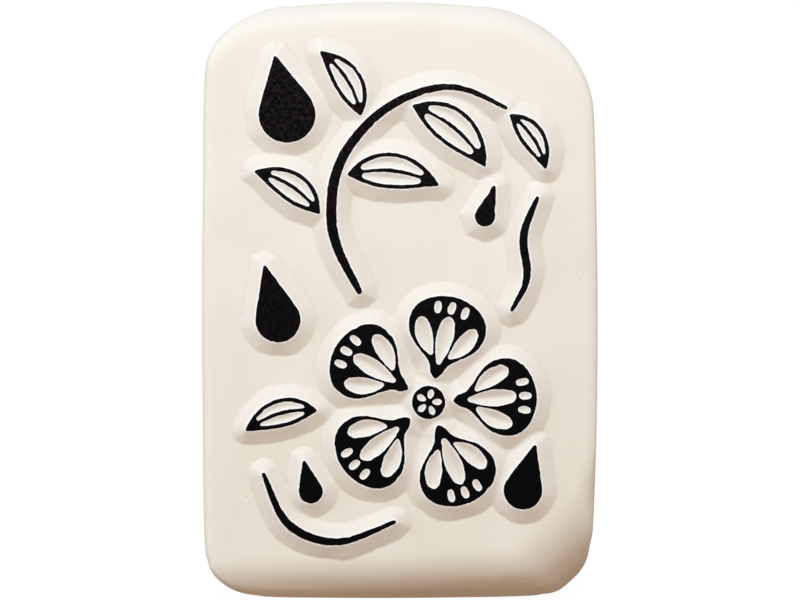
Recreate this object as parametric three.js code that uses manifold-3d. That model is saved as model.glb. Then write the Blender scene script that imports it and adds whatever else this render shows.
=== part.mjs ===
// A temporary tattoo stamp: a hand-sized block of cast ceramic, soft at every edge like a bar of soap.
// A blossom and a leafy branch stand up from its front face, with flat lands on top and sloping flanks.
// Each land carries its own film of black ink, and the lands are pressed on the skin to print.
//
// Frame: millimetres. The block lies on its flat back, so z = 0 is the back and +Z is the printing side.
// The origin is the middle of the back. +Y is the top of the design, and +X is its right.

import * as THREE from "three";
import { LoftGeometry } from "three/addons/geometries/LoftGeometry.js";
import { mergeVertices } from "three/addons/utils/BufferGeometryUtils.js";
import Module from "manifold-3d";

const wasm = await Module();
wasm.setup();

// The block, as it measures with a ruler, and the height of the flat of its front face.
const blockLength = 90;
const blockWidth = 59.5;
const faceHeight = 15;

// It is finished by hand, so no two corners are alike: how far each one runs along its two sides.
const topRightCorner = { x: 18.5, y: 17 };
const topLeftCorner = { x: 14, y: 10.5 };
const bottomLeftCorner = { x: 10.5, y: 8 };
const bottomRightCorner = { x: 10, y: 11.5 };

// How far each side bulges out between its corners.
const topBulge = 0.55;
const leftBulge = 0.4;
const bottomBulge = 0.2;
const rightBulge = 0.55;

// The radius that each edge is rounded over by. The front edges differ from side to side.
const frontEdge = { top: 3.5, left: 3.5, bottom: 7.5, right: 1.8 };
const frontCorner = { topRight: 3, topLeft: 3.5, bottomLeft: 5, bottomRight: 5 };
const backEdge = 3;

// The lower right corner is rubbed down further: the radius of that round, and the way that it faces.
const rubbedRadius = 11.5;
const rubbedDegrees = -48;

// The relief: how high the lands stand over the face, and how far out their flanks reach it.
const reliefHeight = 1.05;
const flankRun = 2.1;
const inkThickness = 0.15;

// The flanks run on into the block, so that they also meet the face where it falls away to an edge.
const flankBury = 0.8;

// An open cell in a land is a groove with sides like the flanks. This share of it is left flat below.
const grooveFloor = 0.15;

// The design fills the flat of the face, and this much of it stays bare next to the rounded edges.
const bareMargin = 0.7;

// Two lands stay this far apart at least, so that the groove between them can be cast and kept clean.
const landGap = 0.8;

// The branch and the tendrils: half their width where they are fullest, and at their fine ends.
const branchBelly = 0.85;
const tendrilBelly = 0.7;
const fineEnd = 0.34;

// A leaf: its length, half its width, how far it bows, the solid rim round its open cells, the midrib
// between them, and a cell's half-width at its end.
const leafLength = 13.4;
const leafBelly = 2.8;
const leafSag = 1.3;
const leafRim = 0.7;
const midrib = 0.7;
const cellEnd = 0.28;

// The blossom: where its centre lies, how far it is turned, and how one petal measures.
const blossomCentre = [4.4, -15.6];
const blossomTurn = -14;
const petalCount = 5;
const petalRoot = 4.6;
const petalReach = 16.6;
const petalWidth = 12;
const petalRootWidth = 1.8;
const petalRim = 1.35;
const petalVein = 0.9;
const smallCellRadius = 0.46;
const smallCellPitch = 2.2;
const heartRadius = 2.6;
const heartRim = 0.6;

// The branch leaves the blossom this far out from its petals, and bows over the top of the face.
const branchStandoff = 2.6;
const branchPath = [[-10.2, 10.4], [-9.2, 20.8], [-2.2, 29.2], [7.6, 32.6], [16.2, 29.4]];

// Two tendrils wave below and beside the blossom.
const tendrilStandoff = 1.6;
const lowerTendril = [[-9.6, -36.9], [-17, -34.2], [-20.8, -26.6]];
const sideTendril = [[19.4, 3.4], [18.9, 9.8], [21, 15.6]];

// Drops of dew: the end of each one's tail, the middle of its head, and half its width.
const dewDrops = [
  { tail: [-19, 37], head: [-17.2, 28.4], belly: 4.4 },
  { tail: [-20.6, 5], head: [-18.6, -3], belly: 3.5 },
  { tail: [14.4, 17.2], head: [13, 12.8], belly: 1.6 },
  { tail: [20.6, -22.4], head: [18.8, -29], belly: 3 },
  { tail: [-14.6, -24.8], head: [-13.6, -29.2], belly: 1.9 },
];

const landHeight = faceHeight + reliefHeight;
const flankSlope = reliefHeight / flankRun;

function point([x, y]) {
  return new THREE.Vector2(x, y);
}

// A straight line, and a smooth curve through hand-placed points.
function straight(from, to) {
  return new THREE.LineCurve(point(from), point(to));
}

function through(points) {
  return new THREE.SplineCurve(points.map(point));
}

// A curve that bows out sideways between two points. A positive sag lies to the left of the way along it.
function bowed(from, to, sag) {
  const along = point(to).sub(point(from));
  const left = new THREE.Vector2(-along.y, along.x).normalize();
  const middle = point(from).addScaledVector(along, 0.5).addScaledVector(left, 2 * sag);
  return new THREE.QuadraticBezierCurve(point(from), middle, point(to));
}

// Half-width along a blade: it swells from the root to the belly and falls again to the tip.
function swelling({ root, belly, tip, bellyAt }) {
  return (t) =>
    t < bellyAt
      ? root + (belly - root) * Math.sin((Math.PI / 2) * (t / bellyAt))
      : tip + (belly - tip) * Math.sin((Math.PI / 2) * ((1 - t) / (1 - bellyAt)));
}

// A blade is the shape that a circle sweeps out as it moves along a spine and changes its size.
// Strokes, leaves, drops and cells are all blades, and both of their ends are round.
// Each outline point keeps the spine point that it belongs to, so that a groove can narrow towards it.
function blade({ spine, halfWidth, steps = 8, endSteps = 4 }) {
  const nudge = 1e-3;
  const stations = Array.from({ length: steps + 1 }, (_, i) => {
    const t = (1 - Math.cos((Math.PI * i) / steps)) / 2;
    const [before, after] = [Math.max(0, t - nudge), Math.min(1, t + nudge)];
    const run = spine.getPoint(after).distanceTo(spine.getPoint(before));
    const swell = THREE.MathUtils.clamp((halfWidth(after) - halfWidth(before)) / run, -0.9, 0.9);
    const heading = spine.getTangent(t).angle();
    const lean = Math.acos(-swell);
    return {
      core: spine.getPoint(t),
      reach: halfWidth(t),
      left: heading + lean,
      right: heading - lean,
    };
  });
  const outline = [];
  const cores = [];
  const add = ({ core, reach }, angle) => {
    outline.push(new THREE.Vector2(Math.cos(angle), Math.sin(angle)).multiplyScalar(reach).add(core));
    cores.push(core);
  };
  const roundEnd = (station, from, to) => {
    for (let i = 1; i < endSteps; i++) add(station, from + ((to - from) * i) / endSteps);
  };
  const [first, last] = [stations[0], stations[steps]];
  for (const station of stations) add(station, station.right);
  roundEnd(last, last.right, last.left);
  for (const station of stations.reverse()) add(station, station.left);
  roundEnd(first, first.left, first.right + 2 * Math.PI);
  return { outline, cores, cells: [] };
}

// The way that an outline faces at each of its points, and how far a corner moves when its edges move by 1.
function facings(outline) {
  const count = outline.length;
  return outline.map((p, i) => {
    const before = p.clone().sub(outline[(i + count - 1) % count]).normalize();
    const after = outline[(i + 1) % count].clone().sub(p).normalize();
    const outwards = new THREE.Vector2(before.y + after.y, -before.x - after.x).normalize();
    return { outwards, stretch: 1 / (outwards.x * after.y - outwards.y * after.x) };
  });
}

// An outline moved outwards, by a distance that may differ from point to point. A negative one moves it in.
function offset(outline, distanceAt) {
  const facing = facings(outline);
  return outline.map((p, i) =>
    p.clone().addScaledVector(facing[i].outwards, distanceAt(i) * facing[i].stretch),
  );
}

// An outline laid at a height that may differ from point to point.
function ring(outline, heightAt) {
  return outline.map((p, i) => new THREE.Vector3(p.x, p.y, heightAt(i)));
}

// A closed solid skinned over rings from the lowest to the highest.
function loft(rings) {
  return new LoftGeometry(rings, { closed: true, capStart: true, capEnd: true });
}

// A three.js geometry as a solid that can be joined and cut, and back again.
function solidOf(geometry) {
  const bare = new THREE.BufferGeometry().copy(geometry);
  bare.deleteAttribute("normal");
  bare.deleteAttribute("uv");
  const merged = mergeVertices(bare, 1e-4);
  return new wasm.Manifold(
    new wasm.Mesh({
      numProp: 3,
      vertProperties: merged.attributes.position.array,
      triVerts: new Uint32Array(merged.index.array),
    }),
  );
}

function geometryOf(solid) {
  const mesh = solid.getMesh();
  const geometry = new THREE.BufferGeometry();
  geometry.setAttribute("position", new THREE.BufferAttribute(mesh.vertProperties, 3));
  geometry.setIndex(new THREE.BufferAttribute(mesh.triVerts, 1));
  geometry.computeVertexNormals();
  return geometry;
}

// The block's outline, from its right side round: four corners, and four sides that bulge between them.
function blockOutline() {
  const right = blockWidth / 2 - rightBulge;
  const top = blockLength / 2 - topBulge;
  const left = leftBulge - blockWidth / 2;
  const bottom = bottomBulge - blockLength / 2;
  const corner = (x, y, reach, quarter) =>
    new THREE.EllipseCurve(x, y, reach.x, reach.y, (quarter * Math.PI) / 2, ((quarter + 1) * Math.PI) / 2);
  const arcs = [
    corner(right - topRightCorner.x, top - topRightCorner.y, topRightCorner, 0),
    corner(left + topLeftCorner.x, top - topLeftCorner.y, topLeftCorner, 1),
    corner(left + bottomLeftCorner.x, bottom + bottomLeftCorner.y, bottomLeftCorner, 2),
    corner(right - bottomRightCorner.x, bottom + bottomRightCorner.y, bottomRightCorner, 3),
  ];
  const bulges = [topBulge, leftBulge, bottomBulge, rightBulge];
  return arcs.flatMap((arc, i) => {
    const [from, to] = [arc.getPoint(1), arcs[(i + 1) % arcs.length].getPoint(0)];
    const side = bowed([from.x, from.y], [to.x, to.y], -bulges[i]);
    return [...arc.getPoints(8), ...side.getPoints(4).slice(1, -1)];
  });
}

// The front edge's radius on the side that x or y points to.
function sideEdge(x) {
  return x > 0 ? frontEdge.right : frontEdge.left;
}

function endEdge(y) {
  return y > 0 ? frontEdge.top : frontEdge.bottom;
}

function cornerEdge(x, y) {
  if (y > 0) return x > 0 ? frontCorner.topRight : frontCorner.topLeft;
  return x > 0 ? frontCorner.bottomRight : frontCorner.bottomLeft;
}

// The front edge's radius where the outline faces along x and y: it changes evenly from a side to a corner.
function frontRadius({ x, y }) {
  const [side, end] = [sideEdge(x), endEdge(y)];
  const halfway = (side + end) / 2;
  return x * x * side + y * y * end + 4 * x * x * y * y * (cornerEdge(x, y) - halfway);
}

// The bare block: its outline drawn in at the back and at the face by quarter rounds.
function blockGeometry() {
  const outline = blockOutline();
  const radii = facings(outline).map(({ outwards }) => frontRadius(outwards));
  const backSteps = 3;
  const frontSteps = 6;
  const rings = [];
  for (let i = 0; i <= backSteps; i++) {
    const angle = (Math.PI / 2) * (i / backSteps);
    const drawnIn = offset(outline, () => -backEdge * (1 - Math.sin(angle)));
    rings.push(ring(drawnIn, () => backEdge * (1 - Math.cos(angle))));
  }
  for (let i = 0; i <= frontSteps; i++) {
    const angle = (Math.PI / 2) * (i / frontSteps);
    const drawnIn = offset(outline, (k) => -radii[k] * (1 - Math.cos(angle)));
    rings.push(ring(drawnIn, (k) => faceHeight - radii[k] * (1 - Math.sin(angle))));
  }
  return loft(rings);
}

// What is rubbed off the lower right corner: all that lies over a quarter round which runs across it.
function rubbedOffGeometry() {
  const angle = THREE.MathUtils.degToRad(rubbedDegrees);
  const way = point([Math.cos(angle), Math.sin(angle)]);
  const reach = Math.max(...blockOutline().map((p) => p.dot(way)));
  const past = 1;
  const section = new THREE.Shape();
  section.absarc(reach - rubbedRadius, faceHeight - rubbedRadius, rubbedRadius, 0, Math.PI / 2, false);
  section.lineTo(reach - rubbedRadius, faceHeight + past);
  section.lineTo(reach + past, faceHeight + past);
  section.lineTo(reach + past, faceHeight - rubbedRadius);
  const across = blockLength;
  const bar = new THREE.ExtrudeGeometry(section, { depth: across, bevelEnabled: false, curveSegments: 9 });
  return bar.translate(0, 0, -across / 2).rotateX(Math.PI / 2).rotateZ(angle);
}

// A land and its flanks: the outline on top, and the same outline further out below.
function reliefGeometry({ outline }) {
  const depth = reliefHeight + flankBury;
  const foot = offset(outline, () => depth / flankSlope);
  return loft([ring(foot, () => landHeight - depth), ring(outline, () => landHeight)]);
}

// An open cell: its sides are as steep as the flanks, so a wide cell is also a deep one.
function cellGeometry({ outline, cores }) {
  const floor = outline.map((p, i) => {
    const inwards = cores[i].clone().sub(p).multiplyScalar(1 - grooveFloor);
    const z = landHeight - flankSlope * inwards.length();
    return new THREE.Vector3(p.x + inwards.x, p.y + inwards.y, z);
  });
  return loft([floor, ring(outline, () => landHeight), ring(outline, () => landHeight + reliefHeight)]);
}

// The film of ink on one land, open where the land has its cells.
function inkGeometry({ outline, cells }) {
  const shape = new THREE.Shape(outline);
  shape.holes = cells.map((cell) => new THREE.Path(cell.outline));
  const film = new THREE.ExtrudeGeometry(shape, { depth: inkThickness, bevelEnabled: false });
  return film.translate(0, 0, landHeight);
}

// A land laid out round the blossom's centre, turned by some degrees and moved to its place on the face.
function inBlossom({ outline, cores, cells }, degrees) {
  const angle = THREE.MathUtils.degToRad(degrees);
  const place = (p) => p.clone().rotateAround(point([0, 0]), angle).add(point(blossomCentre));
  return {
    outline: outline.map(place),
    cores: cores?.map(place),
    cells: cells.map((cell) => inBlossom(cell, degrees)),
  };
}

// One petal: narrow at its root and broad at its end, with three long cells and a row of small ones.
function petal() {
  const half = petalWidth / 2;
  const rootHalf = petalRootWidth / 2;
  const widest = petalReach - 0.38 * petalWidth;
  const waist = { x: 1.7 * rootHalf, y: petalRoot + half / 2 };
  const shape = new THREE.Shape();
  shape.moveTo(rootHalf, petalRoot);
  shape.bezierCurveTo(waist.x, waist.y, half, widest - 0.73 * half, half, widest);
  shape.bezierCurveTo(half, widest + half / 2, 0.43 * half, petalReach, 0, petalReach);
  shape.bezierCurveTo(-0.43 * half, petalReach, -half, widest + half / 2, -half, widest);
  shape.bezierCurveTo(-half, widest - 0.73 * half, -waist.x, waist.y, -rootHalf, petalRoot);
  shape.absarc(0, petalRoot, rootHalf, Math.PI, 2 * Math.PI, false);
  const outline = shape.getSpacedPoints(28).slice(0, -1);

  const belly = (petalWidth - 2 * petalRim - 2 * petalVein) / 6;
  const sideways = half - petalRim - 0.55 * belly;
  const longCell = (side) => {
    const start = [0.38 * side * sideways, petalRoot + (side ? 3.2 : 1.9) * rootHalf];
    const end = [side * sideways, widest + (side ? -0.3 : 0.4) * belly];
    return blade({
      spine: bowed(start, end, -0.06 * side * sideways),
      halfWidth: swelling({ root: cellEnd, belly, tip: 0.68 * belly, bellyAt: 0.68 }),
      steps: 5,
      endSteps: 2,
    });
  };
  const smallCell = (side) => {
    const x = side * smallCellPitch;
    const y = petalReach - petalRim - 0.3 * Math.abs(side);
    return blade({
      spine: straight([0.94 * x, y - petalVein], [x, y]),
      halfWidth: () => smallCellRadius,
      steps: 1,
      endSteps: 3,
    });
  };
  return { outline, cells: [-1, 0, 1].flatMap((side) => [longCell(side), smallCell(side)]) };
}

// The heart of the blossom: a round land with one small cell towards each petal.
function heart() {
  const outline = new THREE.EllipseCurve(0, 0, heartRadius, heartRadius).getPoints(20).slice(0, -1);
  const cellRadius = 0.16 * heartRadius;
  const cells = Array.from({ length: petalCount }, (_, i) => {
    const outwards = point([0, 1]).rotateAround(point([0, 0]), (2 * Math.PI * i) / petalCount);
    const at = (distance) => outwards.clone().multiplyScalar(distance).toArray();
    return blade({
      spine: straight(at(heartRadius / 3), at(heartRadius - heartRim - cellRadius)),
      halfWidth: swelling({ root: 0.6 * cellRadius, belly: cellRadius, tip: cellRadius, bellyAt: 0.8 }),
      steps: 2,
      endSteps: 2,
    });
  });
  return { outline, cells };
}

// The place that lies some distance from another one, at an angle in degrees from +X.
function away(from, degrees, distance) {
  const angle = THREE.MathUtils.degToRad(degrees);
  return point(from).add(point([Math.cos(angle), Math.sin(angle)]).multiplyScalar(distance)).toArray();
}

// The place on a ring round the blossom that clears its petals by a land's gap and by something more.
function roundBlossom(degrees, more) {
  return away(blossomCentre, degrees, petalReach + landGap + more);
}

// A leaf that grows from a place at an angle, with a long cell on each side of its midrib.
// Its size is a share of the full one, and a bow of 1 bends it to its left.
function leaf({ from, degrees, size, bow }) {
  const spine = bowed(from, away(from, degrees, size * leafLength), size * bow * leafSag);
  const halfWidth = swelling({ root: fineEnd, belly: size * leafBelly, tip: fineEnd, bellyAt: 0.45 });
  const [start, end] = [0.16, 0.8];
  const room = (t) => halfWidth(t) - leafRim - midrib / 2;
  const along = (t) => start + (end - start) * t;
  const cells = [-1, 1].map((side) => {
    const beside = (t) => {
      const heading = spine.getTangent(t);
      const shift = (side * (midrib + room(t))) / 2;
      return [spine.getPoint(t).x - heading.y * shift, spine.getPoint(t).y + heading.x * shift];
    };
    return blade({
      spine: through([0, 0.25, 0.5, 0.75, 1].map((t) => beside(along(t)))),
      halfWidth: (t) => room(along(t)) / 2,
      steps: 5,
      endSteps: 2,
    });
  });
  return { ...blade({ spine, halfWidth, steps: 10 }), cells };
}

// A drop of dew, with straight sides from its fine tail to its round head.
function drop({ tail, head, belly }) {
  return blade({
    spine: straight(tail, head),
    halfWidth: (t) => THREE.MathUtils.lerp(fineEnd, belly, t),
    steps: 2,
    endSteps: 12,
  });
}

// Every land of the design, by the name of its film of ink, drawn from the middle of the face.
function drawing() {
  const lands = {};
  for (let i = 0; i < petalCount; i++) {
    lands[`petal_${i + 1}_ink`] = inBlossom(petal(), blossomTurn + (360 * i) / petalCount);
  }
  lands.flower_heart_ink = inBlossom(heart(), blossomTurn);

  const branchSpine = through([roundBlossom(122, branchStandoff), ...branchPath]);
  const branchWidth = swelling({ root: 1.5 * fineEnd, belly: branchBelly, tip: fineEnd, bellyAt: 0.25 });
  lands.branch_ink = blade({ spine: branchSpine, halfWidth: branchWidth, steps: 20 });

  // The leaves of the branch, from the lowest up. A side of 1 is its left, and lean is the angle from it.
  const branchLeaves = [
    { at: 0.26, side: 1, lean: 56, size: 0.84 },
    { at: 0.38, side: -1, lean: 78, size: 1 },
    { at: 0.54, side: 1, lean: 78, size: 0.82 },
    { at: 0.68, side: -1, lean: 62, size: 1.04 },
    { at: 1, side: -1, lean: 36, size: 0.7 },
  ];
  branchLeaves.forEach(({ at, side, lean, size }, i) => {
    const heading = THREE.MathUtils.radToDeg(branchSpine.getTangent(at).angle());
    const clear = branchWidth(at) + landGap + fineEnd;
    const from = away(branchSpine.getPoint(at).toArray(), heading + side * (at < 1 ? 90 : lean), clear);
    lands[`leaf_${i + 1}_ink`] = leaf({ from, degrees: heading + side * lean, size, bow: -side });
  });

  // One more leaf grows from behind the blossom.
  lands.leaf_6_ink = leaf({ from: roundBlossom(184, 0), degrees: 196, size: 0.8, bow: -1 });

  const tendrils = [
    [roundBlossom(254, tendrilStandoff), ...lowerTendril],
    [roundBlossom(48, tendrilStandoff), ...sideTendril],
  ];
  tendrils.forEach((path, i) => {
    lands[`tendril_${i + 1}_ink`] = blade({
      spine: through(path),
      halfWidth: swelling({ root: fineEnd, belly: tendrilBelly, tip: fineEnd, bellyAt: 0.6 }),
      steps: 16,
    });
  });

  dewDrops.forEach((size, i) => {
    lands[`drop_${i + 1}_ink`] = drop(size);
  });
  return lands;
}

// A shape scaled about the middle of the face.
function scaled({ outline, cores, cells }, factor) {
  const place = (p) => p.clone().multiplyScalar(factor);
  return {
    outline: outline.map(place),
    cores: cores?.map(place),
    cells: cells.map((cell) => scaled(cell, factor)),
  };
}

// The drawing as it stands on this block: a smaller or narrower face takes a smaller design.
function landsOnFace() {
  const drawn = drawing();
  const room = (across, edge) => across / 2 - edge - bareMargin;
  const fit = ({ x, y }) =>
    Math.min(
      room(blockWidth, sideEdge(x)) / Math.abs(x),
      room(blockLength, endEdge(y)) / Math.abs(y),
    );
  const factor = Math.min(...Object.values(drawn).flatMap((land) => land.outline.map(fit)));
  return Object.fromEntries(Object.entries(drawn).map(([name, land]) => [name, scaled(land, factor)]));
}

// The block with every land raised on it and every cell cut.
const lands = landsOnFace();
let block = solidOf(blockGeometry()).subtract(solidOf(rubbedOffGeometry()));
for (const land of Object.values(lands)) {
  block = block.add(solidOf(reliefGeometry(land)));
}
for (const cell of Object.values(lands).flatMap((land) => land.cells)) {
  block = block.subtract(solidOf(cellGeometry(cell)));
}

const ceramic = new THREE.MeshStandardMaterial({ color: 0xf0e9dd, roughness: 0.85, metalness: 0 });
const blackInk = new THREE.MeshStandardMaterial({ color: 0x14110f, roughness: 0.6, metalness: 0 });

const stamp = new THREE.Group();
const addPiece = (name, geometry, material) => {
  const piece = new THREE.Mesh(geometry, material);
  piece.name = name;
  stamp.add(piece);
};
addPiece("ceramic_block", geometryOf(block), ceramic);
for (const [name, land] of Object.entries(lands)) {
  addPiece(name, inkGeometry(land), blackInk);
}

export default stamp;
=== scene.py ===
import math

import bpy
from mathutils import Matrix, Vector, noise
from mathutils.geometry import delaunay_2d_cdt
from mathutils.kdtree import KDTree


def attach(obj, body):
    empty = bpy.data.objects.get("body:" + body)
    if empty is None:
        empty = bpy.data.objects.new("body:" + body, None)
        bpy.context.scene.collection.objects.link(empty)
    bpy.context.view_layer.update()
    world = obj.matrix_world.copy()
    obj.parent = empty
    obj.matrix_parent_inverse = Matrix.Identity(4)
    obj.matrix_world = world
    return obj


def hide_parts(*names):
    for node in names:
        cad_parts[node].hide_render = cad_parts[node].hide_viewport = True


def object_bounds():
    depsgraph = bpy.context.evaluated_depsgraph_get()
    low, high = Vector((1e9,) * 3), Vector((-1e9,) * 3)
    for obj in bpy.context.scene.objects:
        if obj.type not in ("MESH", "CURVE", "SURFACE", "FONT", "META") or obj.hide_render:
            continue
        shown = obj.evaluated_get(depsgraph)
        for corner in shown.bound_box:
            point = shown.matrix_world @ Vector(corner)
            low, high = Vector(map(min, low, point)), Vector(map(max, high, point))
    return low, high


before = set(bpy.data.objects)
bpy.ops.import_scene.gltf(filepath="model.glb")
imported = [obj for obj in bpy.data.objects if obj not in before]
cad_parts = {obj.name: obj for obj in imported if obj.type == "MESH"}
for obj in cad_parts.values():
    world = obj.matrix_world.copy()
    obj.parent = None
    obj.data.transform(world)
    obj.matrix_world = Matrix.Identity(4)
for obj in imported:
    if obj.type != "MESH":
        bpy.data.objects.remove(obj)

# A temporary tattoo stamp: a cast ceramic block with a raised design, and black ink on the design.
# Shapes are worked out in millimetres, and turned into metres where a mesh is made.
# The block lies on its back, +Z is the printing side and +Y is the top of the design.

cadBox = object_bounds()
mm = 0.001
sameSpot = 1e-6    # mm, points of a mesh that lie closer than this are one
patternsApart = 7.31    # how far apart in the noise two seeds lie
inkNodes = sorted(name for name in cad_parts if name.endswith("_ink"))


# An sRGB hex code as the linear colour that shaders and lamps take.
def linearColour(hexCode):
    parts = [int(hexCode[i:i + 2], 16) / 255 for i in (1, 3, 5)]
    return [c / 12.92 if c <= 0.04045 else ((c + 0.055) / 1.055) ** 2.4 for c in parts] + [1.0]


def clamp(value, low=0.0, high=1.0):
    return max(low, min(high, value))


def smoothStep(low, high, value):
    t = clamp((value - low) / (high - low))
    return t * t * (3 - 2 * t)


# Soft unevenness from -1 to 1, whose bumps are about size mm apart. A seed picks another pattern.
def uneven(x, y, size, seed):
    return noise.noise(Vector((x / size, y / size, patternsApart * seed)))


# Several such patterns added up, each given by its share, its size in mm and its seed.
def unevenSum(x, y, patterns):
    return sum(share * uneven(x, y, size, seed) for share, size, seed in patterns)


# Patches of a pattern: 0 where it stays under low and 1 from high on.
def patchAt(x, y, patch):
    low, high, size, seed = patch
    return smoothStep(low, high, uneven(x, y, size, seed))


# The way that lies this many degrees round from +X.
def wayAt(degrees):
    return Vector((math.cos(math.radians(degrees)), math.sin(math.radians(degrees))))


def treeOf(points):
    tree = KDTree(len(points))
    for i, p in enumerate(points):
        tree.insert((p.x, p.y, 0), i)
    tree.balance()
    return tree


def makePiece(name, points, faces, material):
    mesh = bpy.data.meshes.new(name)
    mesh.from_pydata([(x * mm, y * mm, z * mm) for x, y, z in points], [], faces)
    mesh.polygons.foreach_set("use_smooth", [True] * len(mesh.polygons))
    mesh.update()
    piece = bpy.data.objects.new(name, mesh)
    bpy.context.scene.collection.objects.link(piece)
    mesh.materials.append(material)
    return piece


def addValues(piece, name, values):
    attribute = piece.data.attributes.new(name, "FLOAT", "POINT")
    attribute.data.foreach_set("value", values)


# A place between b and c on the smooth line through four points. The line is a centripetal one, so it
# never overshoots between points that lie close together.
def catmullRom(a, b, c, d, t):
    ta, tb = 0.0, max((b - a).length, sameSpot) ** 0.5
    tc = tb + max((c - b).length, sameSpot) ** 0.5
    td = tc + max((d - c).length, sameSpot) ** 0.5
    u = tb + (tc - tb) * t
    ab = a * ((tb - u) / (tb - ta)) + b * ((u - ta) / (tb - ta))
    bc = b * ((tc - u) / (tc - tb)) + c * ((u - tb) / (tc - tb))
    cd = c * ((td - u) / (td - tc)) + d * ((u - tc) / (td - tc))
    abc = ab * ((tc - u) / (tc - ta)) + bc * ((u - ta) / (tc - ta))
    bcd = bc * ((td - u) / (td - tb)) + cd * ((u - tb) / (td - tb))
    return abc * ((tc - u) / (tc - tb)) + bcd * ((u - tb) / (tc - tb))


# A closed smooth line through points, with new points at an even spacing. It is first traced with points
# that lie closer together than that.
def smoothLoop(points, spacing):
    timesCloser, fewestPoints = 4, 12
    count = len(points)
    dense = []
    for i in range(count):
        a, b, c, d = (points[(i + k) % count] for k in (-1, 0, 1, 2))
        steps = max(2, math.ceil(timesCloser * (c - b).length / spacing))
        dense += [catmullRom(a, b, c, d, k / steps) for k in range(steps)]
    lengths = [0.0]
    for i, p in enumerate(dense):
        lengths.append(lengths[-1] + (dense[(i + 1) % len(dense)] - p).length)
    number = max(fewestPoints, round(lengths[-1] / spacing))
    evenly, k = [], 0
    for i in range(number):
        goal = lengths[-1] * i / number
        while lengths[k + 1] < goal:
            k += 1
        share = (goal - lengths[k]) / max(lengths[k + 1] - lengths[k], sameSpot)
        evenly.append(dense[k].lerp(dense[(k + 1) % len(dense)], share))
    return evenly


# The way out at each point of a loop: to its right, so away from what lies on its left.
def waysOut(loop):
    ways = []
    for i in range(len(loop)):
        along = loop[(i + 1) % len(loop)] - loop[i - 1]
        ways.append(Vector((along.y, -along.x)).normalized())
    return ways


# The edges of a closed loop of points, numbered from first on.
def edgesAround(first, count):
    return [(first + i, first + (i + 1) % count) for i in range(count)]


# The four-sided faces between a ring of point numbers and the ring below it.
def facesBetween(ring, below):
    onward = [*range(1, len(ring)), 0]
    return [(ring[i], below[i], below[j], ring[j]) for i, j in enumerate(onward)]


# Adds a level of points below a ring, and the faces between the two. The new ring comes back.
def addLevel(points, faces, ring, level):
    below = list(range(len(points), len(points) + len(level)))
    points.extend(level)
    faces.extend(facesBetween(ring, below))
    return below


# The outlines of one land from the flat top of its CAD film: the outer one turns left, holes turn right.
def landLoops(node):
    flatTop = 0.01    # mm, how far under the top a point still belongs to it
    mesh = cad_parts[node].data
    key = [(round(v.co.x / mm, 4), round(v.co.y / mm, 4)) for v in mesh.vertices]
    height = [v.co.z / mm for v in mesh.vertices]
    top = max(height)
    edges = set()
    for face in mesh.polygons:
        if min(height[i] for i in face.vertices) > top - flatTop:
            corners = [key[i] for i in face.vertices]
            edges.update(zip(corners, corners[1:] + corners[:1]))
    onward = {a: b for a, b in edges if (b, a) not in edges}
    loops = []
    while onward:
        loop, at = [], min(onward)
        while at in onward:
            loop.append(Vector(at))
            at = onward.pop(at)
        loops.append(loop)
    return loops


# The block's widest outline, from the CAD ring where its wall stands upright.
def blockLoop():
    sameHeight = 0.01    # mm
    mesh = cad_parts["ceramic_block"].data
    ring = {(round(v.co.x / mm, 3), round(v.co.y / mm, 3)) for v in mesh.vertices
            if abs(v.co.z / mm - block["backEdge"]) < sameHeight}
    return [Vector(p) for p in sorted(ring, key=lambda p: math.atan2(p[1], p[0]))]


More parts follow.
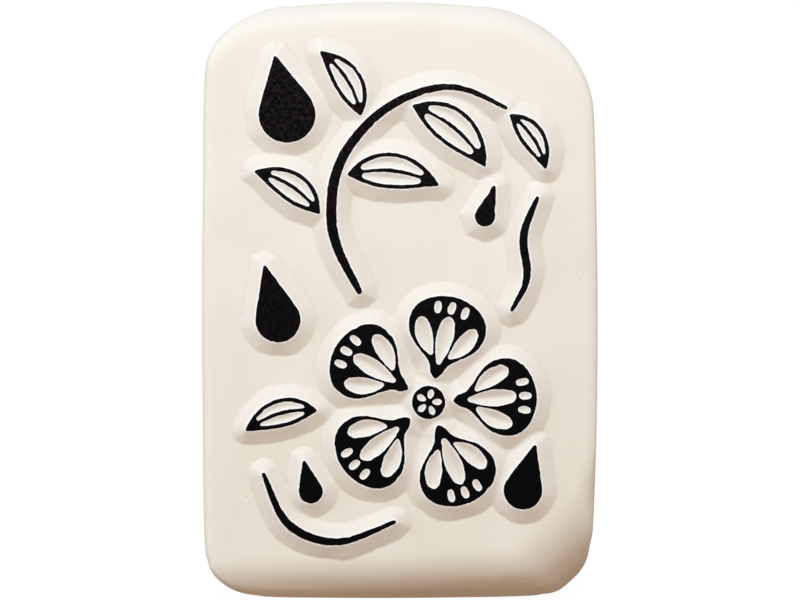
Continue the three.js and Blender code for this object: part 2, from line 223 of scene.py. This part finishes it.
block = {
    # the shape, in mm
    "faceHeight": 15.0,       # flat of the face over the back
    "landHeight": 16.05,      # tops of the raised design
    # radii of the front rounding, in the middle of each side and at each corner
    "frontEdge": {"top": 3.5, "left": 1.2, "bottom": 3.5, "right": 1.0},
    "frontCorner": {"topRight": 3.0, "topLeft": 2.5, "bottomLeft": 1.6, "bottomRight": 3.5},
    "rubbed": {-88: 7.5, -48: 10.4},    # rubbed down further, square to these ways, to these radii
    "dropsMeet": 4,           # how sharply those rounds run into each other: higher is sharper
    "fullCorners": {-45: 0.65, -130: 0.4},    # the outline's lower corners are fuller by this much,
    "fullReach": 0.86,        # all round to where it faces this cosine away from the corner's way
    "rightGrows": 2.4,        # the right edge is rounder by this much at its lower end,
    "growsFrom": -22.0,       # from this height of the face
    "growsTo": -32.0,         # down to this one
    "topLean": (10.0, 0.3),   # the face leans back next to the top edge: over how far, by how much
    "leftLean": (6.0, 0.1),
    "rightLean": (5.0, 0.12),
    "backEdge": 3.0,

    # the flanks of the design
    "flankSlope": 0.5,        # how steeply a flank falls
    "flankUneven": 0.13,      # and how far that slope strays, as a share
    "slopeStray": ((0.7, 5, 6), (0.4, 1.8, 7)),
    "flankEnds": 2.4,         # past this a flank falls away fast, so it ends where the edge drops off
    "footSoftness": 0.03,     # how round the crease is where a flank meets the face
    "footGroove": 0.012,      # the knife ran this deep into the face there,
    "grooveReach": 0.3,       # and the face comes up again over this far
    "creaseSponged": 0.5,     # a sponge took the creases this far toward the mean of their neighbourhood
    "flankShadeFade": (-0.05, 0.1),  # the painted shade of a flank sets in between these heights over the face

    # the marks of the tools
    "toolRoom": 1.2,          # they show where a flank has this much room before the next land,
    "roomShares": (0.7, 0.95),    # or nearly: none at the first share of it and all at the second
    "facets": (-0.1, 0.2, 12.0, 14),    # patches where the flank was cut in facets,
    "facetDegrees": 52.0,     # which turn by this much,
    "facetShare": 0.06,       # and the slope changes by this share within each
    "flutes": (0.05, 0.25, 11.0, 15),   # patches with the narrow strokes of a small gouge
    "fluteWidth": 1.25,
    "fluteDepth": 0.03,
    "fluteFade": (0.3, 0.9),  # they set in over this distance from the land

    # the face and the edges of the lands
    "faceUneven": 0.05,       # gentle hollows left by sponging,
    "hollows": ((0.65, 17, 1), (0.35, 6, 2)),
    "hollowsSink": 0.4,       # which lie rather lower than higher,
    "hollowsFade": (0.5, 3),  # and set in over this distance from the outline
    "contourRagged": 0.06,    # how far the cast edge of a land strays from the drawn one
    "contourStray": ((0.7, 0.9, 3), (0.5, 0.4, 4)),
    "nicks": (0.42, 0.62, 1.3, 5),    # patches where that edge has a nick,
    "nickDepth": 1.3,         # this deep as a share of contourRagged
    "rimHighlightReach": 0.22,         # how far the painted highlight along the rim of a land reaches
    "topShadeReach": 3.2,        # painted shade darkens the top edge a little, down to this far inside it,
    "topShadeFrom": 0.3,         # from this share of the edge's radius on

    # the mesh
    "contourStep": 0.15,      # spacing of points along the design
    "creaseStep": 0.14,       # mesh size along the creases at the feet of the flanks,
    "creaseBand": 0.12,       # up to this height over or under the face,
    "creaseFrom": 0.5,        # and from this distance to the land on
    "closeStep": 0.3,         # mesh size on the rest of the relief
    "closeInside": 0.5,       # from this far inside a land
    "closeReach": 3.0,        # to this far outside it
    "wideStep": 0.75,         # and away from it
    "outlineStep": 0.1,       # spacing at which the outline is first read
    "ringPoints": 640,        # points of each ring round the block
    "seam": 35.0,             # degrees of the front rounding that are meshed with the face
    "seamClear": 0.5,         # other points keep this share of a step away from the seam,
    "landClear": 0.4,         # and this share from the edges of the lands
    "frontRings": 9,
    "wallRings": 3,
    "backRings": 5,
    "backShares": (0.9, 0.5),    # the flat back has rings here, so that its shading stays even
}


# The front edge's radius at a place of the outline that faces out: it changes evenly round a corner, and
# the corner's own radius is reached where the outline faces 45 degrees.
def frontRadius(place, out):
    sideName = "right" if out.x > 0 else "left"
    endName = "top" if out.y > 0 else "bottom"
    side, end = block["frontEdge"][sideName], block["frontEdge"][endName]
    corner = block["frontCorner"][endName + sideName.capitalize()]
    across, up = out.x ** 2, out.y ** 2
    radius = across * side + up * end + 4 * across * up * (corner - (side + end) / 2)
    lower = smoothStep(-block["growsFrom"], -block["growsTo"], -place.y)
    return radius + block["rightGrows"] * lower * max(out.x, 0) ** 4


outline = smoothLoop(blockLoop(), block["outlineStep"])
outline = [outline[round(i * len(outline) / block["ringPoints"])] for i in range(block["ringPoints"])]
for degrees, fuller in block["fullCorners"].items():
    outline = [p + out * fuller * smoothStep(block["fullReach"], 1, out.dot(wayAt(degrees)))
               for p, out in zip(outline, waysOut(outline))]
outlineWays = waysOut(outline)
outlineTree = treeOf(outline)

# For each rubbed side: the way it faces, its radius, and where its round starts along that way.
rubbedSides = [(wayAt(degrees), radius, max(p.dot(wayAt(degrees)) for p in outline) - radius)
               for degrees, radius in block["rubbed"].items()]


# How far a quarter round has fallen, some way past its start.
def roundDrop(radius, past):
    return radius - math.sqrt(max(radius ** 2 - clamp(past, 0, radius) ** 2, 0))


# The drop of the front edge together with those of the rubbed sides, run softly into each other.
def allDrops(x, y, drop):
    total = drop ** block["dropsMeet"]
    for way, radius, start in rubbedSides:
        total += roundDrop(radius, Vector((x, y)).dot(way) - start) ** block["dropsMeet"]
    return total ** (1 / block["dropsMeet"])


# How far the face has leant back at a place this far inside an outline that faces out.
def leanAt(inset, out):
    lean = 0
    for side, facing in (("topLean", out.y), ("leftLean", -out.x), ("rightLean", out.x)):
        reach, fall = block[side]
        lean += fall * (max(facing, 0) * clamp(1 - inset / reach)) ** 2
    return lean


# How far a place lies inside the outline, the front edge's radius there, and the outline's way out.
def insetAt(x, y):
    _, i, _ = outlineTree.find((x, y, 0))
    out = outlineWays[i]
    return (outline[i] - Vector((x, y))).dot(out), frontRadius(outline[i], out), out


# Height of the face with its rounded edges and its gentle hollows, without the design.
def faceAt(x, y):
    inset, radius, out = insetAt(x, y)
    drop = allDrops(x, y, roundDrop(radius, radius - inset)) + leanAt(inset, out)
    hollow = block["faceUneven"] * (unevenSum(x, y, block["hollows"]) - block["hollowsSink"])
    return block["faceHeight"] - drop + hollow * smoothStep(*block["hollowsFade"], inset)


# The edge of a land as cast: the drawn line, a little ragged, with a nick here and there.
def castLoop(loop):
    smooth = smoothLoop(loop, block["contourStep"])
    ragged = []
    for p, out in zip(smooth, waysOut(smooth)):
        stray = unevenSum(p.x, p.y, block["contourStray"])
        nick = block["nickDepth"] * patchAt(p.x, p.y, block["nicks"])
        ragged.append(p + out * block["contourRagged"] * (stray - nick))
    return ragged


print("Reading the outlines of", len(inkNodes), "lands")
castLoops = {node: [castLoop(loop) for loop in landLoops(node)] for node in inkNodes}

# Along each edge: its points, the way out, the length run so far, and where the facets begin to turn.
contour, contourWays, contourRuns, contourTurns, contourEdges = [], [], [], [], []
goldenShare = 0.618    # the facets of each edge begin this share of a facet further on
for number, loop in enumerate(loop for loops in castLoops.values() for loop in loops):
    contourEdges += edgesAround(len(contour), len(loop))
    contour += loop
    contourWays += waysOut(loop)
    contourRuns += [i * block["contourStep"] for i in range(len(loop))]
    contourTurns += [block["facetDegrees"] * (number * goldenShare % 1)] * len(loop)
contourTree = treeOf(contour)


# Distance to the nearest edge of a land, below 0 on the land.
def awayFromLand(x, y):
    near, i, distance = contourTree.find((x, y, 0))
    out = contourWays[i]
    side = (x - near.x) * out.x + (y - near.y) * out.y
    return distance if side > 0 else -distance


# How high a flank runs over the face at a place off the lands. Below 0 the face is what shows.
def flankOverFace(x, y, distance):
    near, i, _ = contourTree.find((x, y, 0))
    out = contourWays[i]
    slope = block["flankSlope"] * (1 + block["flankUneven"] * unevenSum(x, y, block["slopeStray"]))
    # tools leave their marks only where no other land is near
    ahead = distance + block["toolRoom"]
    _, _, room = contourTree.find((near.x + out.x * ahead, near.y + out.y * ahead, 0))
    roomy = smoothStep(*block["roomShares"], room / ahead)
    # a facet is steepest in its middle, and its foot swings out at its two ends
    turn = (math.degrees(math.atan2(out.y, out.x)) - contourTurns[i]) / block["facetDegrees"]
    faceted = roomy * patchAt(x, y, block["facets"])
    slope *= 1 + block["facetShare"] * faceted * math.cos(2 * math.pi * turn)
    # the strokes of a gouge run down the flank, side by side
    run = contourRuns[i] + (y - near.y) * out.x - (x - near.x) * out.y
    fluted = roomy * patchAt(x, y, block["flutes"]) * smoothStep(*block["fluteFade"], distance)
    flute = block["fluteDepth"] * abs(math.sin(math.pi * run / block["fluteWidth"]))
    fall = slope * distance + fluted * flute
    fall += max(distance - block["flankEnds"], 0) ** 2
    return block["landHeight"] - fall - faceAt(x, y)


# Height of the front at a place. Then, both from 0 to 1, how deep it lies in the crease at the foot of a
# flank, and how much painted shade it takes as a flank.
def frontAt(x, y, distance):
    if distance <= 0:
        return block["landHeight"], 0.0, 0.0
    apart = flankOverFace(x, y, distance)
    crease = 1 - smoothStep(0, block["grooveReach"] * block["flankSlope"], abs(apart))
    rounded = (apart + math.sqrt(apart ** 2 + block["footSoftness"] ** 2)) / 2
    height = faceAt(x, y) + rounded - block["footGroove"] * crease
    # the last value is the share of painted shade on the flank
    return height, crease, smoothStep(*block["flankShadeFade"], apart)


grid = {
    "rowShare": 0.866,        # rows of triangles lie this share of a step apart
    "jitter": 0.12,           # points stray by this share of a step, so that no row shows in the shading
    "jitterSize": 0.37,       # mm
    "jitterSeeds": (8, 9),    # across and up
}


# Points over the whole block, about a step apart in rows that are set off from each other.
def hexGrid(step):
    low, high = cadBox[0] / mm, cadBox[1] / mm
    rows = int((high.y - low.y) / (step * grid["rowShare"]))
    columns = int((high.x - low.x) / step)
    for row in range(rows + 1):
        for column in range(columns + 1):
            x = low.x + step * (column + 0.5 * (row % 2))
            y = low.y + step * grid["rowShare"] * row
            strays = [grid["jitter"] * step * uneven(x, y, grid["jitterSize"], seed)
                      for seed in grid["jitterSeeds"]]
            yield x + strays[0], y + strays[1]


# The ring of points round the front edge where its rounding has turned this far from the flat face.
def ringAt(degrees):
    angle = math.radians(degrees)
    ring = []
    for p, out in zip(outline, outlineWays):
        radius = frontRadius(p, out)
        inset = radius * (1 - math.sin(angle))
        x, y = p - out * inset
        drop = allDrops(x, y, radius * (1 - math.cos(angle))) + leanAt(inset, out)
        ring.append((x, y, block["faceHeight"] - drop))
    return ring


# Which mesh size a place takes.
def zoneOf(x, y, distance):
    if not -block["closeInside"] < distance < block["closeReach"]:
        return "wide"
    if distance > block["creaseFrom"] and abs(flankOverFace(x, y, distance)) < block["creaseBand"]:
        return "crease"
    return "close"


# How much painted shade darkens the top edge at a place, from how far inside the outline it lies.
def topEdgeShadeAt(inset, radius, out):
    kept = smoothStep(block["topShadeFrom"] * radius, block["topShadeReach"], inset)
    return max(out.y, 0) ** 2 * (1 - kept)


# The points of the front, each with its distance to the nearest land, from the edges of the lands on.
def frontPoints():
    seamShare = 1 - math.sin(math.radians(block["seam"]))
    flat = list(contour)
    distances = [0.0] * len(flat)
    for zone in ("crease", "close", "wide"):
        step = block[zone + "Step"]
        for x, y in hexGrid(step):
            inset, radius, _ = insetAt(x, y)
            if inset < seamShare * radius + block["seamClear"] * step:
                continue
            distance = awayFromLand(x, y)
            if abs(distance) > block["landClear"] * step and zoneOf(x, y, distance) == zone:
                flat.append(Vector((x, y)))
                distances.append(distance)
    return flat, distances


# From the seam on, the levels of the rest of the front rounding, the wall, and the rounding at the back.
def sideLevels():
    levels = []
    for k in range(1, block["frontRings"] + 1):
        levels.append(ringAt(block["seam"] + (90 - block["seam"]) * k / block["frontRings"]))
    for k in range(1, block["wallRings"] + 1):
        share = k / block["wallRings"]
        levels.append([(x, y, z + (block["backEdge"] - z) * share) for x, y, z in ringAt(90)])
    for k in range(1, block["backRings"] + 1):
        angle = math.pi / 2 * k / block["backRings"]
        inwards = block["backEdge"] * (1 - math.cos(angle))
        level = block["backEdge"] * (1 - math.sin(angle))
        levels.append([(p.x - out.x * inwards, p.y - out.y * inwards, level)
                       for p, out in zip(outline, outlineWays)])
    return levels


# The block's points and faces, and its marks for the material, from 0 to 1 at each point: painted
# highlights on the rims along the lands, painted shade on the flanks, creases at their feet that take
# dust and painted shade, and painted shade on the top edge.
def castBlockMesh():
    seam = ringAt(block["seam"])
    flat, distances = frontPoints()
    firstSeam = len(flat)
    flat += [Vector((x, y)) for x, y, _ in seam]
    edges = contourEdges + edgesAround(firstSeam, len(seam))
    print("Meshing the front from", len(flat), "points")
    corners, _, faces, origins, _, _ = delaunay_2d_cdt(flat, edges, [], 1, sameSpot)
    faces = [tuple(face) for face in faces]

    points, fixed, seamAt = [], [], {}
    marks = {"rimHighlight": [], "flankShade": [], "crease": [], "topEdgeShade": []}
    for i, (p, sources) in enumerate(zip(corners, origins)):
        # painted shade on the top edge
        marks["topEdgeShade"].append(topEdgeShadeAt(*insetAt(p.x, p.y)))
        if sources and sources[0] >= firstSeam:
            seamAt[sources[0] - firstSeam] = i
            points.append(seam[sources[0] - firstSeam])
            fixed.append(True)
            rimHighlight, crease, flankShade = 0.0, 0.0, 0.0
        else:
            distance = distances[sources[0]] if sources else awayFromLand(p.x, p.y)
            height, crease, flankShade = frontAt(p.x, p.y, distance)
            points.append((p.x, p.y, height))
            fixed.append(distance <= 0)
            # a painted highlight along the rim of each land
            rimHighlight = 1 - smoothStep(0.0, block["rimHighlightReach"], abs(distance))
        for name, value in (("rimHighlight", rimHighlight), ("flankShade", flankShade), ("crease", crease)):
            marks[name].append(value)
    points = softened(points, faces, fixed)

    ring = [seamAt[i] for i in range(len(seam))]
    levels = sideLevels()
    for k, level in enumerate(levels):
        ring = addLevel(points, faces, ring, level)
        # the painted shade of the top edge fades down its wall
        marks["topEdgeShade"] += [max(out.y, 0) ** 2 * (1 - k / len(levels)) for out in outlineWays]
    for share in block["backShares"]:
        level = [(points[i][0] * share, points[i][1] * share, 0.0) for i in ring]
        ring = addLevel(points, faces, ring, level)
    faces += [(a, len(points), b) for a, b in zip(ring, ring[1:] + ring[:1])]
    points.append((0.0, 0.0, 0.0))
    for values in marks.values():
        values += [0.0] * (len(points) - len(values))
    return points, faces, marks


# Sponged creases: each free point moves toward the mean height of its neighbours.
def softened(points, faces, fixed):
    neighbours = [set() for _ in points]
    for face in faces:
        for a in face:
            neighbours[a].update(b for b in face if b != a)
    soft = []
    for (x, y, z), near, held in zip(points, neighbours, fixed):
        if near and not held:
            mean = sum(points[b][2] for b in near) / len(near)
            z = (1 - block["creaseSponged"]) * z + block["creaseSponged"] * mean
        soft.append((x, y, z))
    return soft


def newMaterial(name):
    material = bpy.data.materials.new(name)
    material.use_nodes = True
    material.node_tree.nodes.clear()
    return material, material.node_tree


# Adds one node and sets its properties. A socket named in inputs takes a value or another node's socket.
def addNode(tree, kind, settings=None, inputs=None):
    node = tree.nodes.new(kind)
    for name, value in (settings or {}).items():
        setattr(node, name, value)
    for name, value in (inputs or {}).items():
        if isinstance(value, bpy.types.NodeSocket):
            tree.links.new(value, node.inputs[name])
        else:
            node.inputs[name].default_value = value
    return node


# A noise pattern with bumps of a size in mm, from 0 to 1.
def addPattern(tree, place, size, detail, roughness=0.5):
    inputs = {"Scale": 1 / (size * mm), "Detail": detail, "Roughness": roughness, "Vector": place}
    return addNode(tree, "ShaderNodeTexNoise", {}, inputs).outputs["Fac"]


# Moves a value from its old range into a new one, and clips it there.
def addRange(tree, value, old=(0.0, 1.0), new=(0.0, 1.0)):
    inputs = {"Value": value, "From Min": old[0], "From Max": old[1], "To Min": new[0], "To Max": new[1]}
    return addNode(tree, "ShaderNodeMapRange", {}, inputs).outputs["Result"]


def addMaths(tree, operation, a, b):
    return addNode(tree, "ShaderNodeMath", {"operation": operation}, {0: a, 1: b}).outputs[0]


# The colour named over where share is 1, and the one named under where it is 0.
def addMix(tree, share, under, over):
    inputs = {"Factor": share, 6: under, 7: over}
    return addNode(tree, "ShaderNodeMix", {"data_type": "RGBA"}, inputs).outputs[2]


# What a mark says that was stored with the points of the mesh.
def addMark(tree, name):
    return addNode(tree, "ShaderNodeAttribute", {"attribute_name": name}).outputs["Fac"]


# Bumps as high as depth, in mm, on top of those of another bump's normal.
def addBump(tree, height, depth, normal=None):
    inputs = {"Distance": depth * mm, "Height": height}
    if normal is not None:
        inputs["Normal"] = normal
    return addNode(tree, "ShaderNodeBump", {}, inputs).outputs["Normal"]


def addSurface(tree, look, colour, roughness, normal):
    shader = addNode(tree, "ShaderNodeBsdfPrincipled", {},
                     {"IOR": look["ior"], "Specular IOR Level": look["specular"], "Base Color": colour,
                      "Roughness": roughness, "Normal": normal})
    addNode(tree, "ShaderNodeOutputMaterial", {}, {"Surface": shader.outputs["BSDF"]})


ceramic = {
    "clay": "#efe6d1",            # cream, as the fired body looks in white light
    "shade": "#eae2cb",           # slightly darker drifts of the same clay,
    "drifts": (14.0, 3.0),        # of this size in mm and this detail,
    "driftRange": (0.35, 0.7),    # which set in and are full at these values of their pattern
    "topEdgeShade": "#e6ddcd",         # painted shade on the top edge, which holds down its highlight
    "flankShade": "#e8dfcc",             # painted shade that makes the flanks a little darker, as a steeper slope would look
    "dustAndShade": "#c8b49a",            # fine dust and painted shade in the creases
    "dustAndShadeShare": 0.14,
    "rim": "#fbf7ef",             # a painted highlight along the edges of the lands
    "pitSpacing": 3.2,            # mm, the odd small air bubble that broke open
    "pitRadius": 0.2,             # mm
    "pitDepth": 0.08,             # mm
    "grain": (0.28, 2.0),         # size in mm, coarser than the real 0.1 so that it shows, and detail
    "grainDepth": 0.006,          # mm
    "sponge": (2.4, 4.0),         # soft marks of the wet sponge: size in mm and detail
    "spongeDepth": 0.03,          # mm
    "roughness": (0.76, 0.88),    # from the hollows of those marks to their tops
    "ior": 1.5,
    "specular": 0.2,
}


# Unglazed slip-cast ceramic, sponged and bisque-fired: matt, chalky and even, with the faintest drift of
# tone, fine grain and soft sponge marks. Light spreads over it with hardly any gloss.
def bisqueCeramic():
    material, tree = newMaterial("bisque_ceramic")
    place = addNode(tree, "ShaderNodeTexCoord").outputs["Object"]
    drift = addRange(tree, addPattern(tree, place, *ceramic["drifts"]), old=ceramic["driftRange"])
    grain = addPattern(tree, place, *ceramic["grain"])
    sponge = addPattern(tree, place, *ceramic["sponge"])
    # dust and painted shade along the creases at the feet of the flanks
    dustAndShadeMask = addMaths(tree, "MULTIPLY", addMark(tree, "crease"), ceramic["dustAndShadeShare"])
    colour = linearColour(ceramic["clay"])
    # painted shade on the top edge and on the flanks, dust and painted shade in the creases, and a
    # painted highlight along the lands
    tints = [("shade", drift), ("topEdgeShade", addMark(tree, "topEdgeShade")), ("flankShade", addMark(tree, "flankShade")),
             ("dustAndShade", dustAndShadeMask), ("rim", addMark(tree, "rimHighlight"))]
    for tint, share in tints:
        colour = addMix(tree, share, colour, linearColour(ceramic[tint]))
    bubbles = addNode(tree, "ShaderNodeTexVoronoi", {},
                      {"Scale": 1 / (ceramic["pitSpacing"] * mm), "Vector": place}).outputs["Distance"]
    pits = addRange(tree, bubbles, old=(0.0, ceramic["pitRadius"] / ceramic["pitSpacing"]))
    normal = addBump(tree, sponge, ceramic["spongeDepth"])
    normal = addBump(tree, pits, ceramic["pitDepth"], normal)
    normal = addBump(tree, grain, ceramic["grainDepth"], normal)
    addSurface(tree, ceramic, colour, addRange(tree, sponge, new=ceramic["roughness"]), normal)
    return material


ink = {
    "deep": "#060505",            # where the film is full
    "dryAndSheen": "#2a2320",             # where the pad left it thin and dusty, and where a painted sheen lightens it toward the top
    "dabs": (0.6, 5.0, 0.65),     # the mottling left by dabbing: size in mm, detail and roughness
    "dabRange": (0.44, 0.7),      # it sets in and is full at these values of its pattern
    "sheenRange": (-20.0, 35.0),   # mm along the block, from no painted sheen to full painted sheen wherever it is mottled
    "grain": (0.32, 3.0),         # size in mm and detail
    "grainDepth": 0.02,           # mm
    "roughness": (0.4, 0.65),     # from the fullest to the driest
    "ior": 1.45,
    "specular": 0.02,
}


# Black pigment ink, dabbed on and dried: a thin matt film, nearly black, mottled and slightly grainy,
# with a painted sheen that lightens the mottling toward the top of the block.
def driedInk():
    material, tree = newMaterial("dried_black_ink")
    place = addNode(tree, "ShaderNodeTexCoord").outputs["Object"]
    dabs = addPattern(tree, place, *ink["dabs"])
    grain = addPattern(tree, place, *ink["grain"])
    along = addNode(tree, "ShaderNodeSeparateXYZ", {}, {"Vector": place}).outputs["Y"]
    # a painted sheen, growing toward the top of the block
    topSheen = addRange(tree, along, old=[end * mm for end in ink["sheenRange"]])
    dryAndSheen = addMaths(tree, "MULTIPLY", addRange(tree, dabs, old=ink["dabRange"]), topSheen)
    colour = addMix(tree, dryAndSheen, linearColour(ink["deep"]), linearColour(ink["dryAndSheen"]))
    rough = addRange(tree, dabs, new=ink["roughness"])
    addSurface(tree, ink, colour, rough, addBump(tree, grain, ink["grainDepth"]))
    return material


bisque = bisqueCeramic()
driedBlack = driedInk()

print("Casting the block")
points, faces, marks = castBlockMesh()
castBlock = makePiece("cast_block", points, faces, bisque)
for name, values in marks.items():
    addValues(castBlock, name, values)
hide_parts("ceramic_block")
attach(castBlock, "root")


film = {
    "drawnIn": 0.06,       # the ink stops this far inside the edge of its land
    "ragged": 0.04,        # and strays this much
    "stray": ((0.8, 0.5, 11), (0.6, 0.25, 12)),
    "thickness": 0.09,     # a few times the real one, so that it keeps clear of its land
    "swells": ((0.02, 0.8, 13),),    # how unevenly thick it is
    "lip": 0.07,           # width of its rounded edge
    "lipProfile": ((0.3, 0.8), (0.0, 0.35), (0.02, 0.0)),    # shares of its width inwards and its height
    "step": 0.6,           # mesh size inside,
    "clear": 0.15,         # this far from its rounded edge on
}


# The edge of the ink on a land, from the cast edge of the land.
def filmLoop(loop):
    moved = []
    for p, out in zip(loop, waysOut(loop)):
        moved.append(p - out * (film["drawnIn"] + film["ragged"] * unevenSum(p.x, p.y, film["stray"])))
    return moved


# The points and faces of one film: flat on top with a rounded edge, and closed from below.
def filmMesh(loops):
    base = block["landHeight"]
    edge = [filmLoop(loop) for loop in loops]
    rims = [[p - out * film["lip"] for p, out in zip(loop, waysOut(loop))] for loop in edge]
    flat, edges, firsts = [], [], []
    for rim in rims:
        firsts.append(len(flat))
        edges += edgesAround(len(flat), len(rim))
        flat += rim
    low = [min(p[k] for p in edge[0]) for k in (0, 1)]
    high = [max(p[k] for p in edge[0]) for k in (0, 1)]
    inside = -(film["drawnIn"] + film["lip"] + film["clear"])
    for x, y in hexGrid(film["step"]):
        if low[0] < x < high[0] and low[1] < y < high[1] and awayFromLand(x, y) < inside:
            flat.append(Vector((x, y)))
    corners, _, faces, origins, _, _ = delaunay_2d_cdt(flat, edges, [], 1, sameSpot)
    points = [(p.x, p.y, base + film["thickness"] + unevenSum(p.x, p.y, film["swells"])) for p in corners]
    placed = {source: i for i, sources in enumerate(origins) for source in sources}
    inner = [tuple(face) for face in faces if not insideHole(corners, face, rims[1:])]
    # the same faces turned over close the film where it lies on its land
    under = len(points)
    points += [(x, y, base) for x, y, _ in points]
    bottom = [tuple(under + i for i in reversed(face)) for face in inner]
    sides = []
    for loop, first in zip(edge, firsts):
        rim = [placed[first + i] for i in range(len(loop))]
        ring = rim
        for inwards, rise in film["lipProfile"]:
            level = [(*(p - out * inwards * film["lip"]), base + rise * film["thickness"])
                     for p, out in zip(loop, waysOut(loop))]
            ring = addLevel(points, sides, ring, level)
        sides += facesBetween(ring, [under + i for i in rim])
    return points, inner + sides + bottom


# Whether a face of the flat top lies in a hole of its land.
def insideHole(corners, face, holes):
    centre = (corners[face[0]] + corners[face[1]] + corners[face[2]]) / 3
    return any(windsRound(hole, centre) for hole in holes)


# Whether a loop winds round a place. If it does, a line that runs off sideways from the place crosses the
# loop an odd number of times.
def windsRound(loop, place):
    inside = False
    for i, p in enumerate(loop):
        q = loop[i - 1]
        if (p.y > place.y) != (q.y > place.y):
            if place.x < (q.x - p.x) * (place.y - p.y) / (q.y - p.y) + p.x:
                inside = not inside
    return inside


print("Inking", len(inkNodes), "lands")
for node in inkNodes:
    points, faces = filmMesh(castLoops[node])
    piece = makePiece("film_" + node.removesuffix("_ink"), points, faces, driedBlack)
    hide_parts(node)
    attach(piece, "root")


stage = {
    "size": 3000.0,         # mm
    "table": "#bcbcbc",     # what the object sees: a plain grey table
    "paper": 0.1,           # what the camera sees: white paper that keeps a faint shadow,
    "paperGlow": 0.95,      # because most of its white is a glow of its own
    "room": "#ffb765",      # warm dim light from all round
    "roomStrength": 0.3,
    "backdrop": 1.0,        # the white that the camera sees past the paper
    "lampsAim": (0, 0, 10),    # mm
}

# Big soft lamps in cool daylight: places and sizes in mm, powers in watts. The window past the top of the
# block gives most of the light, which falls across the face and draws the relief.
lamps = {
    "key_window": {"place": (45, 330, 412), "size": (500, 200), "power": 2.96, "colour": "#d3e9ff"},
    "ceiling": {"place": (0, 40, 480), "size": (400, 400), "power": 0.47, "colour": "#d6eaff"},
    "left_fill": {"place": (-440, 60, 140), "size": (300, 200), "power": 1.0, "colour": "#d1e7ff"},
    "right_fill": {"place": (400, 220, 160), "size": (300, 200), "power": 0.14, "colour": "#d6eaff"},
}

camera = {
    "lens": 250.0,
    "sensor": 36.0,
    "imageWidth": 800,
    "pixelSize": 0.1512,      # mm of the block's widest outline to one pixel
    "level": 9.5,             # mm, where the outline is seen
    "offset": (0.03, 0.03),   # mm, the block isn't quite in the middle of the picture
}


# 1 for what the camera sees, straight or in something glossy or clear, and 0 for what only lights things.
def seenDirectly(tree):
    path = addNode(tree, "ShaderNodeLightPath")
    seen = path.outputs["Is Camera Ray"]
    for ray in ("Is Glossy Ray", "Is Transmission Ray"):
        seen = addMaths(tree, "MAXIMUM", seen, path.outputs[ray])
    return seen


# One shader for what lights things and another for what the camera sees.
def addTwoFaced(tree, lighting, seen):
    inputs = {"Fac": seenDirectly(tree), 1: lighting.outputs[0], 2: seen.outputs[0]}
    return addNode(tree, "ShaderNodeMixShader", {}, inputs).outputs[0]


# Plain grey to the object, and white paper with the faintest shadow to the camera.
def floorMaterial():
    material, tree = newMaterial("pale_floor")
    table = addNode(tree, "ShaderNodeBsdfDiffuse", {}, {"Color": linearColour(stage["table"])})
    paper = addNode(tree, "ShaderNodeBsdfDiffuse", {}, {"Color": [stage["paper"]] * 3 + [1]})
    glow = addNode(tree, "ShaderNodeEmission", {}, {"Strength": stage["paperGlow"]})
    both = addNode(tree, "ShaderNodeAddShader", {}, {0: paper.outputs[0], 1: glow.outputs[0]})
    addNode(tree, "ShaderNodeOutputMaterial", {}, {"Surface": addTwoFaced(tree, table, both)})
    return material


def addRoom():
    world = bpy.data.worlds.new("room")
    bpy.context.scene.world = world
    world.use_nodes = True
    tree = world.node_tree
    tree.nodes.clear()
    dim = addNode(tree, "ShaderNodeBackground", {},
                  {"Color": linearColour(stage["room"]), "Strength": stage["roomStrength"]})
    white = addNode(tree, "ShaderNodeBackground", {},
                    {"Color": [1, 1, 1, 1], "Strength": stage["backdrop"]})
    addNode(tree, "ShaderNodeOutputWorld", {}, {"Surface": addTwoFaced(tree, dim, white)})


def addLamp(name, place, size, power, colour):
    data = bpy.data.lights.new(name, "AREA")
    data.shape = "RECTANGLE"
    data.size, data.size_y = size[0] * mm, size[1] * mm
    data.energy = power
    data.color = linearColour(colour)[:3]
    lamp = bpy.data.objects.new(name, data)
    bpy.context.scene.collection.objects.link(lamp)
    lamp.location = Vector(place) * mm
    aim = Vector(stage["lampsAim"]) - Vector(place)
    lamp.rotation_euler = aim.to_track_quat("-Z", "Y").to_euler()


# Straight above the face, and so far off that the outline has its size in the picture.
def addCamera():
    distance = camera["pixelSize"] * camera["imageWidth"] * camera["lens"] / camera["sensor"]
    data = bpy.data.cameras.new("camera")
    data.lens, data.sensor_width = camera["lens"], camera["sensor"]
    shot = bpy.data.objects.new("camera", data)
    bpy.context.scene.collection.objects.link(shot)
    shot.location = Vector((*camera["offset"], camera["level"] + distance)) * mm
    bpy.context.scene.camera = shot


print("Setting the stage")
half = stage["size"] / 2
floor = makePiece("floor", [(-half, -half, 0), (half, -half, 0), (half, half, 0), (-half, half, 0)],
                  [(0, 1, 2, 3)], floorMaterial())
for name, lamp in lamps.items():
    addLamp(name, **lamp)
addRoom()
addCamera()
bpy.context.scene.view_settings.view_transform = "Standard"
